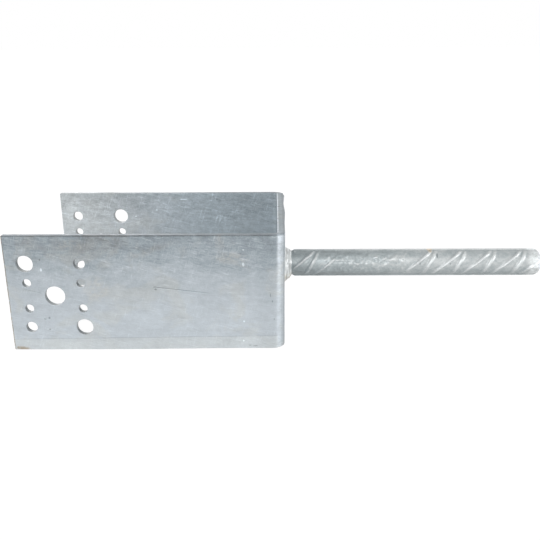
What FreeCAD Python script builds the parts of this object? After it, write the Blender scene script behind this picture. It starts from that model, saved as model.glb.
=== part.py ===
"""Timber post base: a folded and punched steel U with a ribbed anchor dowel welded to its web.

The frame's origin is the centre of the post's seat, which is the inner face of the web. +X runs along the
dowel, away from the post. The two flanges point to -X and stand at the two ends of Y. +Z runs across the
width of the strip that the U is folded from, so the base lies on the long edges of that strip.
All sizes are in millimetres, and all angles in degrees.
"""

import FreeCAD, Part
import Sketcher
import math
import os

# Driving sizes: alias, value, what it is.
SIZES = (
    ("post_width", 140.0, "clear width between the flanges"),
    ("strip_width", 90.0, "width of the steel strip"),
    ("strip_thickness", 5.0, "thickness of the steel strip"),
    ("flange_reach", 200.0, "flange tip to the post's seat"),
    ("inner_bend_radius", 4.0, "inside radius of the two folds"),
    ("edge_break", 0.7, "broken corner along the strip's long edges"),
    ("hole_inset", 35.0, "flange tip to the centre of its hole group"),
    ("column_offset", 20.0, "centre hole to each outer column of holes"),
    ("outer_row_offset", 25.0, "centre hole to the rows of bolt and screw holes"),
    ("inner_row_offset", 10.0, "centre hole to the rows of nail holes"),
    ("group_drop", 1.5, "how far each hole group lies below the middle of the strip"),
    ("centre_hole_radius", 7.5, "cross bolt hole through both flanges"),
    ("bolt_hole_radius", 6.25, "large holes, on one diagonal of the group"),
    ("screw_hole_radius", 4.25, "middle holes, on the other diagonal"),
    ("nail_hole_radius", 3.25, "small holes"),
    ("dowel_radius", 10.0, "core radius of the ribbed bar"),
    ("dowel_length", 215.0, "web's outer face to the dowel's end"),
    ("dowel_end_round", 3.5, "rounded edge of the bar's cropped end, over its ribs"),
    ("rib_height", 1.3, "crown of a rib above the core"),
    ("rib_foot_width", 4.4, "width of a rib at its root, along the bar"),
    ("rib_crest_width", 1.6, "width of a rib at its crown, along the bar"),
    ("rib_root_depth", 0.4, "how far a rib is rooted in the core"),
    ("rib_half_sweep", 72.0, "angle round the bar from a rib's crown to where it fades out"),
    ("rib_pair_pitch", 24.75, "distance at which one shallow and one steep rib repeat"),
    ("rib_shallow_angle", 37.0, "angle of a shallow rib to the bar's axis, seen square on"),
    ("rib_steep_angle", 56.0, "angle of a steep rib to the bar's axis, seen square on"),
    ("rib_row_turn", 13.0, "how far the front row of ribs is turned up about the bar"),
    ("rib_start", 13.8, "web's outer face to the crown of the first rib"),
    ("seam_height", 1.3, "height of the two lengthwise ribs above the core"),
    ("seam_foot_width", 4.0, "width of a lengthwise rib at its root"),
    ("seam_crest_width", 2.2, "width of a lengthwise rib at its crest"),
    ("crop_clearance", 30.0, "how far the two crops reach past the bar"),
    ("weld_leg_bar", 5.5, "length of the fillet weld along the bar"),
    ("weld_leg_web", 5.0, "height of the fillet weld up the web"),
)
VALUE = {alias: value for alias, value, _ in SIZES}

doc = FreeCAD.newDocument("timber_post_base")


def vector(x, y, z=0.0):
    return FreeCAD.Vector(x, y, z)


def make_sheet():
    """Write the driving sizes into a spreadsheet, one alias to a row."""
    sheet = doc.addObject("Spreadsheet::Sheet", "sizes")
    for row, (alias, value, meaning) in enumerate(SIZES, start=1):
        sheet.set(f"A{row}", alias)
        sheet.set(f"B{row}", str(value))
        sheet.set(f"C{row}", meaning)
        sheet.setAlias(f"B{row}", alias)
    doc.recompute()


def named(*aliases):
    """The present values of some aliases, to draw a sketch near its final shape."""
    return [VALUE[alias] for alias in aliases]


def new_body(label):
    body = doc.addObject("PartDesign::Body", label)
    body.Label = label
    return body


def origin_part(body, role):
    """The body's own origin plane or axis with the given role."""
    return next(feature for feature in body.Origin.OriginFeatures if feature.Role == role)


def new_sketch(body, label, plane):
    sketch = body.newObject("Sketcher::SketchObject", label)
    sketch.AttachmentSupport = [(origin_part(body, plane), "")]
    sketch.MapMode = "FlatFace"
    return sketch


def bind(sketch, kind, elements, name, expression):
    """Add a sized constraint, give it a name and bind it to the sheet."""
    present = sketch.evalExpression(expression)
    present = float(getattr(present, "Value", present))
    index = sketch.addConstraint(Sketcher.Constraint(kind, *elements, present))
    sketch.renameConstraint(index, name)
    sketch.setExpression(f"Constraints.{name}", expression)


def close_outline(sketch, edges, smooth):
    """Join each edge's end to the next one's start, tangent where the pair is in smooth."""
    for first, second in zip(edges, edges[1:] + edges[:1]):
        kind = "Tangent" if (first, second) in smooth else "Coincident"
        sketch.addConstraint(Sketcher.Constraint(kind, first, 2, second, 1))


def polygon(sketch, corners):
    """Draw a closed outline of straight edges. Edges along an axis of the sketch are held to it."""
    edges = []
    for start, end in zip(corners, corners[1:] + corners[:1]):
        edge = sketch.addGeometry(Part.LineSegment(vector(*start), vector(*end)))
        edges.append(edge)
        if start[1] == end[1]:
            sketch.addConstraint(Sketcher.Constraint("Horizontal", edge))
        elif start[0] == end[0]:
            sketch.addConstraint(Sketcher.Constraint("Vertical", edge))
    close_outline(sketch, edges, set())
    return edges


def cut(body, sketch, label, side_type="One side", reversed_=False):
    """Pocket a sketch through everything, and prove that it removed metal."""
    before = body.Tip.Shape.Volume
    pocket = body.newObject("PartDesign::Pocket", label)
    pocket.Profile = sketch
    pocket.Type = "ThroughAll"
    pocket.SideType = side_type
    pocket.Reversed = reversed_
    doc.recompute()
    if not pocket.Shape.Volume < before:
        raise RuntimeError(f"{label} removes nothing")
    return pocket


# ---------------------------------------------------------------- the folded and punched U


def draw_u_profile(body):
    """The U seen along Z: twelve edges, drawn anticlockwise from the front flange's outer corner."""
    post_width, thick, reach, bend = named(
        "post_width", "strip_thickness", "flange_reach", "inner_bend_radius"
    )
    inner = post_width / 2
    outer = inner + thick
    outer_bend = bend + thick
    sketch = new_sketch(body, "u_profile", "XY_Plane")

    def line(x1, y1, x2, y2):
        return sketch.addGeometry(Part.LineSegment(vector(x1, y1), vector(x2, y2)))

    def corner(x, y, radius, start):
        circle = Part.Circle(vector(x, y), vector(0, 0, 1), radius)
        return sketch.addGeometry(Part.ArcOfCircle(circle, math.radians(start), math.radians(start + 90)))

    front_outer = line(-reach, -outer, thick - outer_bend, -outer)
    front_fold = corner(-bend, -inner + bend, outer_bend, 270)
    web_outer = line(thick, -inner + bend, thick, inner - bend)
    rear_fold = corner(-bend, inner - bend, outer_bend, 0)
    rear_outer = line(-bend, outer, -reach, outer)
    rear_tip = line(-reach, outer, -reach, inner)
    rear_inner = line(-reach, inner, -bend, inner)
    rear_inner_fold = corner(-bend, inner - bend, bend, 0)
    web_inner = line(0, inner - bend, 0, -inner + bend)
    front_inner_fold = corner(-bend, -inner + bend, bend, 270)
    front_inner = line(-bend, -inner, -reach, -inner)
    front_tip = line(-reach, -inner, -reach, -outer)

    # Every arc runs anticlockwise, so the outline passes the inner folds from their end to their start.
    outer_run = [front_outer, front_fold, web_outer, rear_fold, rear_outer]
    for first, second in zip(outer_run, outer_run[1:]):
        sketch.addConstraint(Sketcher.Constraint("Tangent", first, 2, second, 1))
    for first, end, second, start in (
        (rear_inner, 2, rear_inner_fold, 2),
        (rear_inner_fold, 1, web_inner, 1),
        (web_inner, 2, front_inner_fold, 2),
        (front_inner_fold, 1, front_inner, 1),
    ):
        sketch.addConstraint(Sketcher.Constraint("Tangent", first, end, second, start))
    for first, second in (
        (rear_outer, rear_tip),
        (rear_tip, rear_inner),
        (front_inner, front_tip),
        (front_tip, front_outer),
    ):
        sketch.addConstraint(Sketcher.Constraint("Coincident", first, 2, second, 1))
    for edge in (front_outer, rear_outer, rear_inner, front_inner):
        sketch.addConstraint(Sketcher.Constraint("Horizontal", edge))
    for edge in (web_outer, web_inner, rear_tip):
        sketch.addConstraint(Sketcher.Constraint("Vertical", edge))
    for outer_fold, inner_fold in ((front_fold, front_inner_fold), (rear_fold, rear_inner_fold)):
        sketch.addConstraint(Sketcher.Constraint("Coincident", outer_fold, 3, inner_fold, 3))
    sketch.addConstraint(Sketcher.Constraint("PointOnObject", web_inner, 1, -2))
    sketch.addConstraint(Sketcher.Constraint("Symmetric", front_outer, 1, rear_outer, 2, -1))
    bind(sketch, "Radius", (front_inner_fold,), "front_fold_radius", "sizes.inner_bend_radius")
    bind(sketch, "Radius", (rear_inner_fold,), "rear_fold_radius", "sizes.inner_bend_radius")
    bind(sketch, "DistanceY", (front_inner, 2, rear_inner, 1), "clear_width", "sizes.post_width")
    bind(sketch, "DistanceY", (rear_tip, 2, rear_tip, 1), "flange_thickness", "sizes.strip_thickness")
    bind(sketch, "DistanceX", (rear_tip, 1, -1, 1), "reach", "sizes.flange_reach")
    return sketch


def hole_sketch(body, label, holes, radius):
    """Circles on the XZ plane. Each hole is a column sign and a row sign from the hole group's centre."""
    reach, inset, column, drop = named("flange_reach", "hole_inset", "column_offset", "group_drop")
    sketch = new_sketch(body, label, "XZ_Plane")
    for number, (column_sign, row_sign, row) in enumerate(holes, start=1):
        x = -reach + inset + column_sign * column
        z = row_sign * VALUE[row] - drop if row else -drop
        circle = sketch.addGeometry(Part.Circle(vector(x, z), vector(0, 0, 1), VALUE[radius]))
        bind(sketch, "Radius", (circle,), f"radius_{number}", f"sizes.{radius}")
        along = f"sizes.flange_reach - sizes.hole_inset - ({column_sign}) * sizes.column_offset"
        bind(sketch, "DistanceX", (circle, 3, -1, 1), f"along_{number}", along)
        if not row:
            bind(sketch, "DistanceY", (circle, 3, -1, 1), f"across_{number}", "sizes.group_drop")
            continue
        # A sketch distance is positive, so a hole below the axis is measured from its centre up.
        ends = (-1, 1, circle, 3) if row_sign > 0 else (circle, 3, -1, 1)
        bind(sketch, "DistanceY", ends, f"across_{number}", f"sizes.{row} - ({row_sign}) * sizes.group_drop")
    return sketch


def make_u_bracket():
    """Fold the strip, break its long edges, and punch nine holes in each flange.

    The middle hole and the four nail holes go straight through both flanges. The large and the middle-sized
    holes lie on the two diagonals of the group, which change places between the flanges, so each large hole
    faces a middle-sized one.
    """
    body = new_body("u_bracket")
    strip = body.newObject("PartDesign::Pad", "strip")
    strip.Profile = draw_u_profile(body)
    strip.SideType = "Symmetric"
    strip.setExpression("Length", "sizes.strip_width")
    doc.recompute()

    half_width = VALUE["strip_width"] / 2
    broken = body.newObject("PartDesign::Chamfer", "broken_edges")
    broken.Base = (strip, long_edges(strip.Shape, half_width))
    broken.setExpression("Size", "sizes.edge_break")
    doc.recompute()

    corners = [(column, row) for column in (-1, 1) for row in (-1, 1)]
    nails = [(column, row, "inner_row_offset") for column, row in corners]
    falling = [(column, row, "outer_row_offset") for column, row in corners if column != row]
    rising = [(column, row, "outer_row_offset") for column, row in corners if column == row]
    straight_through = (
        ("centre_hole", [(0, 0, None)], "centre_hole_radius"),
        ("nail_holes", nails, "nail_hole_radius"),
    )
    for label, holes, radius in straight_through:
        cut(body, hole_sketch(body, f"{label}_places", holes, radius), label, "Symmetric")
    one_flange = (
        ("front_bolt_holes", falling, "bolt_hole_radius", True),
        ("front_screw_holes", rising, "screw_hole_radius", True),
        ("rear_bolt_holes", rising, "bolt_hole_radius", False),
        ("rear_screw_holes", falling, "screw_hole_radius", False),
    )
    for label, holes, radius, to_front in one_flange:
        cut(body, hole_sketch(body, f"{label}_places", holes, radius), label, reversed_=to_front)
    return body


def long_edges(shape, half_width):
    """Names of the edges that run round the U in the strip's two side faces, without the cut ends."""
    names = []
    tip = -VALUE["flange_reach"]
    for number, edge in enumerate(shape.Edges, start=1):
        box = edge.BoundBox
        on_side = abs(abs(box.Center.z) - half_width) < 1e-6 and box.ZLength < 1e-6
        if on_side and box.XMax > tip + 1e-6:
            names.append(f"Edge{number}")
    return names


# ---------------------------------------------------------------- the ribbed anchor dowel

# A rib's crest is a circle, seen along the bar, that meets the core's circle at the end of the rib's sweep.
CREST_REACH = "(sizes.dowel_radius + sizes.rib_height)"
CREST_OFFSET = (
    f"(({CREST_REACH} ^ 2 - sizes.dowel_radius ^ 2)"
    f" / (2 * ({CREST_REACH} - sizes.dowel_radius * cos(sizes.rib_half_sweep * 1 deg))))"
)
CREST_RADIUS = f"({CREST_REACH} - {CREST_OFFSET})"
ROOT_RADIUS = "(sizes.dowel_radius - sizes.rib_root_depth)"


def draw_core(body):
    """Half of the rolled bar's lengthwise section. It runs one rib pitch past its cropped length."""
    thick, radius, length, pitch = named("strip_thickness", "dowel_radius", "dowel_length", "rib_pair_pitch")
    end = thick + length + pitch
    sketch = new_sketch(body, "core_profile", "XY_Plane")
    corners = [(thick, 0), (end, 0), (end, radius), (thick, radius)]
    axis, end_face, side, root = polygon(sketch, corners)
    sketch.addConstraint(Sketcher.Constraint("PointOnObject", axis, 1, -1))
    bind(sketch, "DistanceX", (-1, 1, axis, 1), "web_face", "sizes.strip_thickness")
    rolled_length = "sizes.dowel_length + sizes.rib_pair_pitch"
    bind(sketch, "DistanceX", (axis, 1, axis, 2), "rolled_length", rolled_length)
    bind(sketch, "DistanceY", (root, 2, root, 1), "radius", "sizes.dowel_radius")
    return sketch


def make_seams(body):
    """The two lengthwise ribs that part the rows of crescent ribs."""
    radius, rooted, height, foot, crest = named(
        "dowel_radius", "rib_root_depth", "seam_height", "seam_foot_width", "seam_crest_width"
    )
    sketch = new_sketch(body, "seam_profile", "YZ_Plane")
    sketch.setExpression("AttachmentOffset.Base.z", "sizes.strip_thickness")
    low, high = radius - rooted, radius + height
    corners = [(-foot / 2, low), (foot / 2, low), (crest / 2, high), (-crest / 2, high)]
    root_side, flank, crest_side, other_flank = polygon(sketch, corners)
    bind(sketch, "DistanceX", (root_side, 1, -1, 1), "half_foot", "sizes.seam_foot_width / 2")
    bind(sketch, "DistanceX", (root_side, 1, root_side, 2), "foot_width", "sizes.seam_foot_width")
    bind(sketch, "DistanceX", (crest_side, 2, crest_side, 1), "crest_width", "sizes.seam_crest_width")
    sketch.addConstraint(Sketcher.Constraint("Equal", flank, other_flank))
    bind(sketch, "DistanceY", (-1, 1, root_side, 1), "root", "sizes.dowel_radius - sizes.rib_root_depth")
    bind(sketch, "DistanceY", (-1, 1, crest_side, 1), "crest", "sizes.dowel_radius + sizes.seam_height")
    seam = body.newObject("PartDesign::Pad", "seam")
    seam.Profile = sketch
    seam.setExpression("Length", "sizes.dowel_length + sizes.rib_pair_pitch")
    doc.recompute()
    seams = body.newObject("PartDesign::PolarPattern", "seams")
    seams.Originals = [seam]
    seams.Axis = (origin_part(body, "X_Axis"), [""])
    seams.Angle = 360
    seams.Occurrences = 2
    body.Tip = seams
    doc.recompute()


def rib_section(body, label, angle, along, radius, offset):
    """An ellipse on a plane that leans over the bar's axis: the cut of a round bar of the given radius.

    Its centre lies offset to the front of the axis, and its plane crosses the axis at the place along.
    """
    lean = FreeCAD.Rotation(vector(0, -1, 0), VALUE[angle])
    sketch = new_sketch(body, label, "XY_Plane")
    sketch.AttachmentOffset = FreeCAD.Placement(vector(0, 0, 0), lean)
    sketch.setExpression("AttachmentOffset.Rotation.Angle", f"sizes.{angle}")
    sketch.setExpression("AttachmentOffset.Base.x", along)
    core = VALUE["dowel_radius"]
    long_half = core / math.sin(math.radians(VALUE[angle]))
    ellipse = Part.Ellipse(vector(long_half, 0), vector(0, core), vector(0, 0))
    rim = sketch.addGeometry(ellipse)
    sketch.exposeInternalGeometry(rim)
    long_axis = rim + 1
    short_axis = rim + 2
    sketch.addConstraint(Sketcher.Constraint("Horizontal", long_axis))
    sketch.addConstraint(Sketcher.Constraint("PointOnObject", rim, 3, -2))
    if offset:
        bind(sketch, "DistanceY", (rim, 3, -1, 1), "offset", offset)
    else:
        sketch.addConstraint(Sketcher.Constraint("PointOnObject", rim, 3, -1))
    bind(sketch, "Distance", (long_axis,), "long_axis", f"2 * {radius} / sin(sizes.{angle} * 1 deg)")
    bind(sketch, "Distance", (short_axis,), "short_axis", f"2 * {radius}")
    return sketch


def make_rib(body, label, angle, pitch_share):
    """One crescent rib: a leaning disc that is rooted in the core and bevelled up to an off-centre crest."""
    middle = f"sizes.strip_thickness + sizes.rib_start + {pitch_share} * sizes.rib_pair_pitch"
    stations = (
        ("near_root", f"{middle} - sizes.rib_foot_width / 2", ROOT_RADIUS, None),
        ("near_crest", f"{middle} - sizes.rib_crest_width / 2", CREST_RADIUS, CREST_OFFSET),
        ("far_crest", f"{middle} + sizes.rib_crest_width / 2", CREST_RADIUS, CREST_OFFSET),
        ("far_root", f"{middle} + sizes.rib_foot_width / 2", ROOT_RADIUS, None),
    )
    sections = [
        rib_section(body, f"{label}_{station}", angle, along, radius, offset)
        for station, along, radius, offset in stations
    ]
    rib = body.newObject("PartDesign::AdditiveLoft", label)
    rib.Profile = sections[0]
    rib.Sections = sections[1:]
    rib.Ruled = True
    doc.recompute()
    return rib


def turn_away(body, sketch, label):
    """Groove a sketch out all round the bar, and prove that it removed metal."""
    before = body.Tip.Shape.Volume
    groove = body.newObject("PartDesign::Groove", label)
    groove.Profile = sketch
    groove.ReferenceAxis = (origin_part(body, "X_Axis"), [""])
    groove.Angle = 360
    doc.recompute()
    if not groove.Shape.Volume < before:
        raise RuntimeError(f"{label} removes nothing")


def crop_root(body):
    """Crop the bar square at the web, and end its ribs at the toe of the weld that lies round it."""
    thick, radius, leg, clear = named("strip_thickness", "dowel_radius", "weld_leg_bar", "crop_clearance")
    sketch = new_sketch(body, "root_crop_profile", "XY_Plane")
    corners = [(thick - clear, 0), (thick, 0), (thick, radius), (thick + leg, radius)]
    corners += [(thick + leg, clear), (thick - clear, clear)]
    axis_side, web_face, core_side, _, _, far_end = polygon(sketch, corners)
    sketch.addConstraint(Sketcher.Constraint("PointOnObject", axis_side, 2, -1))
    bind(sketch, "DistanceX", (-1, 1, web_face, 1), "web_face", "sizes.strip_thickness")
    bind(sketch, "DistanceY", (web_face, 1, web_face, 2), "core_radius", "sizes.dowel_radius")
    bind(sketch, "DistanceX", (core_side, 1, core_side, 2), "weld_leg", "sizes.weld_leg_bar")
    bind(sketch, "DistanceX", (axis_side, 1, axis_side, 2), "clear_length", "sizes.crop_clearance")
    bind(sketch, "DistanceY", (far_end, 2, far_end, 1), "clear_radius", "sizes.crop_clearance")
    turn_away(body, sketch, "cropped_root")


def crop_tip(body):
    """Crop the bar to length through whatever rib is there, and round the end over its ribs."""
    thick, radius, height, length, round_, clear = named(
        "strip_thickness", "dowel_radius", "rib_height", "dowel_length", "dowel_end_round", "crop_clearance"
    )
    end, outer = thick + length, radius + height
    sketch = new_sketch(body, "tip_crop_profile", "XY_Plane")

    def line(x1, y1, x2, y2):
        return sketch.addGeometry(Part.LineSegment(vector(x1, y1), vector(x2, y2)))

    axis_side = line(end, 0, end + clear, 0)
    far_end = line(end + clear, 0, end + clear, clear)
    outside = line(end + clear, clear, end - round_, clear)
    shoulder = line(end - round_, clear, end - round_, outer)
    circle = Part.Circle(vector(end - round_, outer - round_), vector(0, 0, 1), round_)
    rounding = sketch.addGeometry(Part.ArcOfCircle(circle, 0, math.pi / 2))
    face = line(end, outer - round_, end, 0)
    for first, second in ((face, axis_side), (axis_side, far_end), (far_end, outside), (outside, shoulder)):
        sketch.addConstraint(Sketcher.Constraint("Coincident", first, 2, second, 1))
    sketch.addConstraint(Sketcher.Constraint("Coincident", shoulder, 2, rounding, 2))
    sketch.addConstraint(Sketcher.Constraint("Tangent", rounding, 1, face, 1))
    for edge in (axis_side, outside):
        sketch.addConstraint(Sketcher.Constraint("Horizontal", edge))
    for edge in (far_end, shoulder, face):
        sketch.addConstraint(Sketcher.Constraint("Vertical", edge))
    sketch.addConstraint(Sketcher.Constraint("Vertical", rounding, 2, rounding, 3))
    sketch.addConstraint(Sketcher.Constraint("PointOnObject", axis_side, 1, -1))
    bind(sketch, "DistanceX", (-1, 1, face, 2), "length", "sizes.strip_thickness + sizes.dowel_length")
    bind(sketch, "Radius", (rounding,), "end_round", "sizes.dowel_end_round")
    bind(sketch, "DistanceY", (-1, 1, rounding, 2), "over_ribs", "sizes.dowel_radius + sizes.rib_height")
    bind(sketch, "DistanceX", (axis_side, 1, axis_side, 2), "clear_length", "sizes.crop_clearance")
    bind(sketch, "DistanceY", (far_end, 1, far_end, 2), "clear_radius", "sizes.crop_clearance")
    turn_away(body, sketch, "cropped_tip")


def make_dowel():
    """Roll the bar longer than it is needed and crop both ends.

    The core is turned, the lengthwise ribs are laid along it, and one shallow and one steep crescent rib are
    lofted and repeated as a pair along and round the bar.
    """
    body = new_body("anchor_dowel")
    core = body.newObject("PartDesign::Revolution", "core")
    core.Profile = draw_core(body)
    core.ReferenceAxis = (origin_part(body, "X_Axis"), [""])
    core.Angle = 360
    doc.recompute()
    make_seams(body)
    shallow = make_rib(body, "shallow_rib", "rib_shallow_angle", 0)
    steep = make_rib(body, "steep_rib", "rib_steep_angle", 0.5)
    before = body.Tip.Shape.Volume

    rows = body.newObject("PartDesign::MultiTransform", "rib_rows")
    along = body.newObject("PartDesign::LinearPattern", "ribs_along_bar")
    along.Direction = (origin_part(body, "X_Axis"), [""])
    along.Mode = "Spacing"
    along.setExpression("Offset", "sizes.rib_pair_pitch")
    along.setExpression(
        "Occurrences", "floor((sizes.dowel_length - sizes.rib_start) / sizes.rib_pair_pitch) + 1"
    )
    around = body.newObject("PartDesign::PolarPattern", "ribs_front_and_rear")
    around.Axis = (origin_part(body, "X_Axis"), [""])
    around.Angle = 360
    around.Occurrences = 2
    rows.Originals = [shallow, steep]
    rows.Transformations = [along, around]
    body.Tip = rows
    doc.recompute()
    if not rows.Shape.Volume > before:
        raise RuntimeError("the ribs do not repeat")

    crop_root(body)
    crop_tip(body)
    body.Placement = FreeCAD.Placement(vector(0, 0), FreeCAD.Rotation(vector(-1, 0), VALUE["rib_row_turn"]))
    body.setExpression("Placement.Rotation.Angle", "sizes.rib_row_turn")
    doc.recompute()
    return body


# ---------------------------------------------------------------- the weld


def make_weld():
    """The fillet bead between the web and the bar, turned round the bar."""
    thick, radius, leg_bar, leg_web = named("strip_thickness", "dowel_radius", "weld_leg_bar", "weld_leg_web")
    body = new_body("weld_bead")
    sketch = new_sketch(body, "weld_profile", "XY_Plane")
    corners = [(thick, radius), (thick + leg_bar, radius), (thick, radius + leg_web)]
    bar_side, _, web_side = polygon(sketch, corners)
    bind(sketch, "DistanceX", (-1, 1, bar_side, 1), "web_face", "sizes.strip_thickness")
    bind(sketch, "DistanceY", (-1, 1, bar_side, 1), "core_radius", "sizes.dowel_radius")
    bind(sketch, "DistanceX", (bar_side, 1, bar_side, 2), "leg_bar", "sizes.weld_leg_bar")
    bind(sketch, "DistanceY", (web_side, 2, web_side, 1), "leg_web", "sizes.weld_leg_web")
    bead = body.newObject("PartDesign::Revolution", "bead")
    bead.Profile = sketch
    bead.ReferenceAxis = (origin_part(body, "X_Axis"), [""])
    bead.Angle = 360
    doc.recompute()
    return body


def check_document():
    """Stop if any object failed, which a recompute does not report by itself."""
    for item in doc.Objects:
        if "Invalid" in item.State or "Error" in item.State:
            raise RuntimeError(f"{item.Label} failed: {item.State}")


def main():
    make_sheet()
    pieces = (make_u_bracket(), make_dowel(), make_weld())
    doc.recompute()
    check_document()
    os.makedirs("parts", exist_ok=True)
    for piece in pieces:
        if piece.Shape.isNull() or not piece.Shape.isValid():
            raise RuntimeError(f"{piece.Label} has no valid shape")
    for piece in pieces:
        piece.Shape.exportStep(f"parts/{piece.Label}.step")


main()
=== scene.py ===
"""Timber post base: hot-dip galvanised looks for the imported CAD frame.

Each CAD node is replaced by a finer mesh of the same size. The object's lengths are in millimetres, in the
CAD frame: +X along the dowel, the U open to -X, its flanges at -Y and +Y, and +Z up. The web's inner face
lies at X 0. The floor, the lamps and the camera are in metres.
"""

import math
from types import SimpleNamespace

import bmesh
import bpy
from mathutils import Matrix, Vector, noise
from mathutils.geometry import delaunay_2d_cdt


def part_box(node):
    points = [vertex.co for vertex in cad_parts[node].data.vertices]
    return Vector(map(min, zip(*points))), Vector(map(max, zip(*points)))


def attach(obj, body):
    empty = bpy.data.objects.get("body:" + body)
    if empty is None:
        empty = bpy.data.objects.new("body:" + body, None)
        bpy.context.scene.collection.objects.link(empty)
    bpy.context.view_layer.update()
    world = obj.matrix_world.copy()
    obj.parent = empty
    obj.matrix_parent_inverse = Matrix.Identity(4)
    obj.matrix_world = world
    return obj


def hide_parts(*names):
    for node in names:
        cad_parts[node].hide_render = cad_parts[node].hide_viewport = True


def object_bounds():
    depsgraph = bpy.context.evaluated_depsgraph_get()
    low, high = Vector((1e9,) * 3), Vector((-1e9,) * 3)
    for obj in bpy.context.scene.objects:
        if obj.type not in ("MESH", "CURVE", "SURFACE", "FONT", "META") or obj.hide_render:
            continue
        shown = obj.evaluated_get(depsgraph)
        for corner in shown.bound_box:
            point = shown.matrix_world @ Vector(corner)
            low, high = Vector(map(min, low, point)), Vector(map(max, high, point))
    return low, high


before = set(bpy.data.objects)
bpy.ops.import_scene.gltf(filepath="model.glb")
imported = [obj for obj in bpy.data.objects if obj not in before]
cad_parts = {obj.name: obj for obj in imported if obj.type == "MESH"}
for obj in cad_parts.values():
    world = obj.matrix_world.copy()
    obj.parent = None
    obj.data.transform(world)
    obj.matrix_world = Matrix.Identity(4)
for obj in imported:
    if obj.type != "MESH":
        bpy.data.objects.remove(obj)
CAD_LOW, CAD_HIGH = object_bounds()

MM = 0.001


def corners(node):
    """A CAD node's lowest and highest corner, in millimetres."""
    return [[round(value / MM, 3) for value in corner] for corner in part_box(node)]


# The strip, from the CAD node's box. Its thickness is the web's, from X 0 to the outer face.
STRIP_LOW, STRIP_HIGH = corners("u_bracket")
TIP_X = STRIP_LOW[0]
WEB_OUT = STRIP_HIGH[0]
FLANGE_OUT = STRIP_HIGH[1]
HALF_STRIP = STRIP_HIGH[2]
WALL = WEB_OUT
FLANGE_IN = FLANGE_OUT - WALL
FOLD_OUT = 9.0
FOLD_X = WEB_OUT - FOLD_OUT
FOLD_Y = FLANGE_OUT - FOLD_OUT
EDGE_ROUND = 0.6
CORNER_ROUND = 0.7
ROUND_STEPS = 4
FACE_STEP = 4.0

# The punched holes of a flange: one in the middle and two columns of four.
GROUP_X = -165.0
GROUP_Z = -1.5
REAR_DROP = 0.4
COLUMN = 20.0
OUTER_ROW = 25.0
INNER_ROW = 10.0
CENTRE_HOLE = 7.5
LARGE_HOLE = 6.25
MEDIUM_HOLE = 4.25
SMALL_HOLE = 3.25
HOLE_ROUND = 0.5
HOLE_FLARE = 0.12

# The ribbed bar, which is a little shorter than the CAD dowel.
CORE = 10.0
BAR_END = corners("anchor_dowel")[1][0] - 1.1
END_ROUND = 5.8
BAR_SIDES = 168
BAR_STEP = 0.65

# Its two rows of ribs, whose crowns are turned up by ROW_TURN. Each pitch has a shallow and a steep rib. A
# rib leans by its angle from the bar's axis and fades out over RIB_SWEEP to each side of the crown, with a
# hollow beside it. The far ribs lie nearer the web by FAR_SHIFT.
RIB_HEIGHT = 1.3
RIB_SWEEP = math.radians(76)
RIB_PITCH = 24.75
RIB_START = 13.8
RIB_CREST = 0.4
RIB_FOOT = 2.2
FAR_SHIFT = 1.8
ROW_TURN = math.radians(13)
SHALLOW_RIB = SimpleNamespace(
    angle=math.radians(37), share=0.0, height=RIB_HEIGHT,
    hollow=0.5, hollow_at=-4.2, hollow_reach=3.2,
)
STEEP_RIB = SimpleNamespace(
    angle=math.radians(59), share=0.42, height=RIB_HEIGHT - 0.35,
    hollow=0.3, hollow_at=-2.7, hollow_reach=1.6,
)

# The weld bead, from just clear of the web to its toe on the bar. Its bore is hidden in the bar.
WELD_START = WEB_OUT + 0.02
WELD_REACH = 7.3
WELD_RADIUS = corners("weld_bead")[1][1] + 1.3
WELD_BORE = 9.4
WELD_BORE_END = WEB_OUT + 6.6
WELD_SIDES = 144
WELD_STEPS = 22


def smooth(value, low, high):
    """A soft step from 0 at low to 1 at high. Either of the two may be the larger."""
    share = min(1.0, max(0.0, (value - low) / (high - low)))
    return share * share * (3 - 2 * share)


def bell(value, centre, reach):
    """A soft hump of height 1 at centre that ends at the given reach to each side."""
    return smooth(abs(value - centre), reach, 0.0)


def spaced(start, end, step):
    """Places from start to end, both included, at most step apart."""
    count = max(1, math.ceil(abs(end - start) / step))
    return [start + (end - start) * i / count for i in range(count + 1)]


def all_round(count):
    """Evenly spaced angles of a full turn."""
    return [2 * math.pi * i / count for i in range(count)]


# ---------------------------------------------------------------- meshes


class Shell:
    """Points and faces of one piece, in millimetres."""

    def __init__(self):
        self.points = []
        self.faces = []

    def row(self, points):
        """Add points and return their numbers."""
        first = len(self.points)
        self.points.extend(points)
        return list(range(first, len(self.points)))

    def bridge(self, one, other, closed=False):
        """Quads between two rows of as many points."""
        last = len(one) if closed else len(one) - 1
        for i in range(last):
            j = (i + 1) % len(one)
            self.faces.append((one[i], one[j], other[j], other[i]))

    def rings(self, rings, closed=False):
        """Quads between each row of points and the next."""
        rows = [self.row(ring) for ring in rings]
        for one, other in zip(rows, rows[1:]):
            self.bridge(one, other, closed)
        return rows

    def build(self, name, node, material, shape=None):
        """Make the object, weld its seams, and let it stand for a CAD node."""
        points = [shape(point) for point in self.points] if shape else self.points
        mesh = bpy.data.meshes.new(name)
        mesh.from_pydata([Vector(point) * MM for point in points], [], self.faces)
        welded = bmesh.new()
        welded.from_mesh(mesh)
        bmesh.ops.remove_doubles(welded, verts=welded.verts, dist=0.004 * MM)
        bmesh.ops.recalc_face_normals(welded, faces=welded.faces)
        welded.to_mesh(mesh)
        welded.free()
        mesh.shade_smooth()
        mesh.materials.append(material)
        piece = bpy.data.objects.new(name, mesh)
        bpy.context.scene.collection.objects.link(piece)
        weights = piece.modifiers.new("flat_faces_stay_flat", "WEIGHTED_NORMAL")
        weights.weight = 90
        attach(piece, "root")
        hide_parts(node)
        return piece


# ---- the strip

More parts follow.
